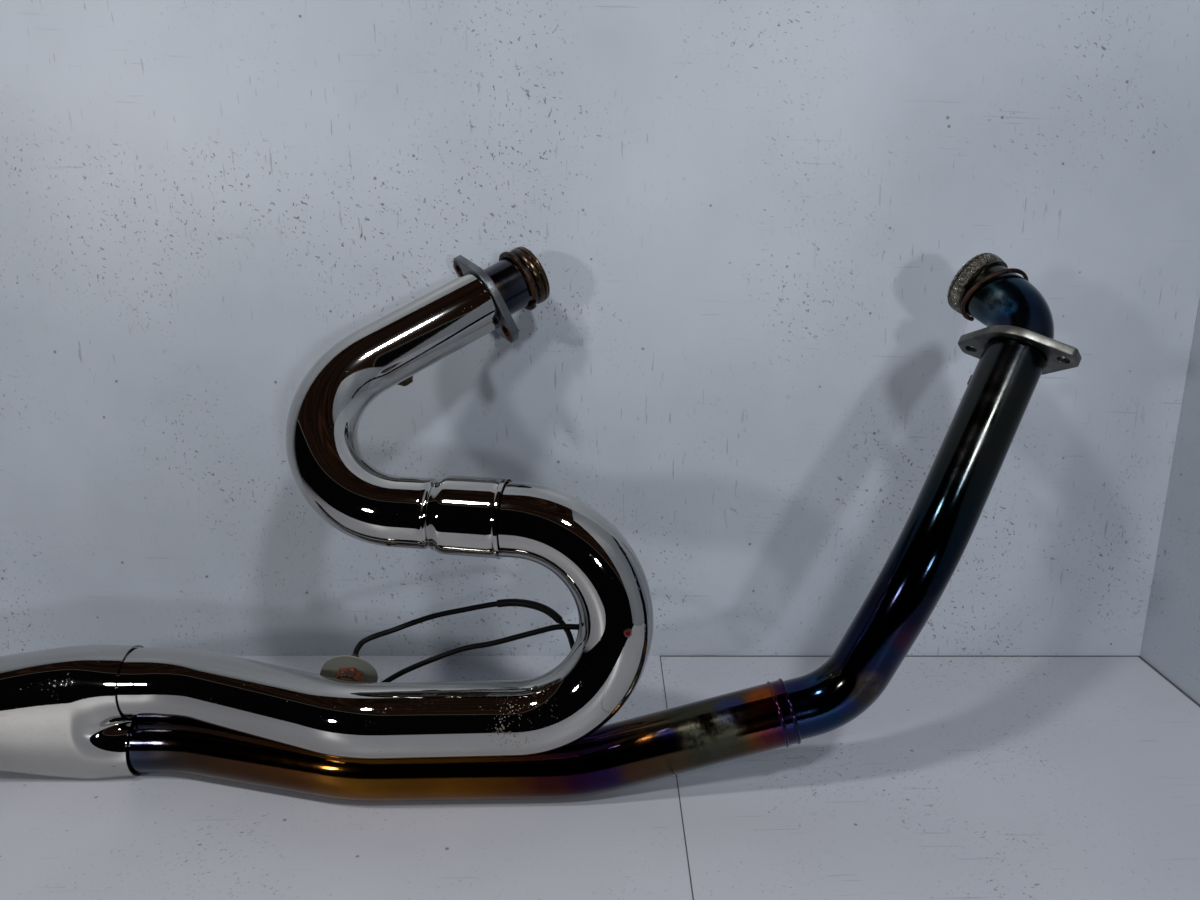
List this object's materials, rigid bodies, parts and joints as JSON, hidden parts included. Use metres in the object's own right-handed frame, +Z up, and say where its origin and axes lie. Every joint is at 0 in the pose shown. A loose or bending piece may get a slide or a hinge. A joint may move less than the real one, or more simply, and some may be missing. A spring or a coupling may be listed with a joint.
{
  "type": "motorcycle exhaust header",
  "caption": "Two-into-one exhaust header for a V-twin motorcycle, with bent head pipes, heat shields, port flanges, a collector and an oxygen sensor.",
  "frame": {"origin": "centre of the rear port flange's outer face, on the rear pipe's axis", "axes": "+X forward from the collector to the front port, +Y towards the engine, +Z up"},
  "size_m": [0.932, 0.2609, 0.4105],
  "materials": {
    "shield": "mirror chrome with fine scratches and pitting",
    "pipe_rear": "heat-stained steel",
    "pipe_front_upper": "glossy steel, blued by heat",
    "pipe_front_lower": "glossy steel, straw and purple heat tints",
    "flange": "zinc plated, worn",
    "ring": "rusty spring steel",
    "gasket": "knitted wire",
    "clamp": "dull stainless steel",
    "bung": "browned steel",
    "sensor": "rusted",
    "deflector": "dull, stained steel",
    "boot": "matte",
    "cable": "satin black",
    "plug": "satin black"
  },
  "bodies": {
    "root": {"rear_head_pipe": "pipe_rear", "front_upper_pipe": "pipe_front_upper", "front_lower_pipe": "pipe_front_lower", "collector": "pipe_rear", "rear_port_flange": "flange", "front_port_flange": "flange", "rear_retaining_ring": "ring", "front_retaining_ring": "ring", "rear_port_gasket": "gasket", "front_port_gasket": "gasket", "upper_shield": "shield", "lower_shield": "shield", "collector_shield": "shield", "shield_clips": "clamp", "clamp_band_1": "clamp", "clamp_band_2": "clamp", "clamp_band_3": "clamp", "clamp_band_4": "clamp", "clamp_band_5": "clamp", "clamp_screw_1": "clamp", "clamp_screw_2": "clamp", "clamp_screw_3": "clamp", "clamp_screw_4": "clamp", "clamp_screw_5": "clamp", "rear_bung": "bung", "rear_plug": "bung", "front_bung": "bung", "front_plug": "bung", "sensor_bung": "bung", "oxygen_sensor": "sensor", "sensor_deflector": "deflector", "sensor_boot": "boot", "sensor_cable": "cable", "cable_sleeve": "cable", "connector": "plug"}
  },
  "joints": []
}
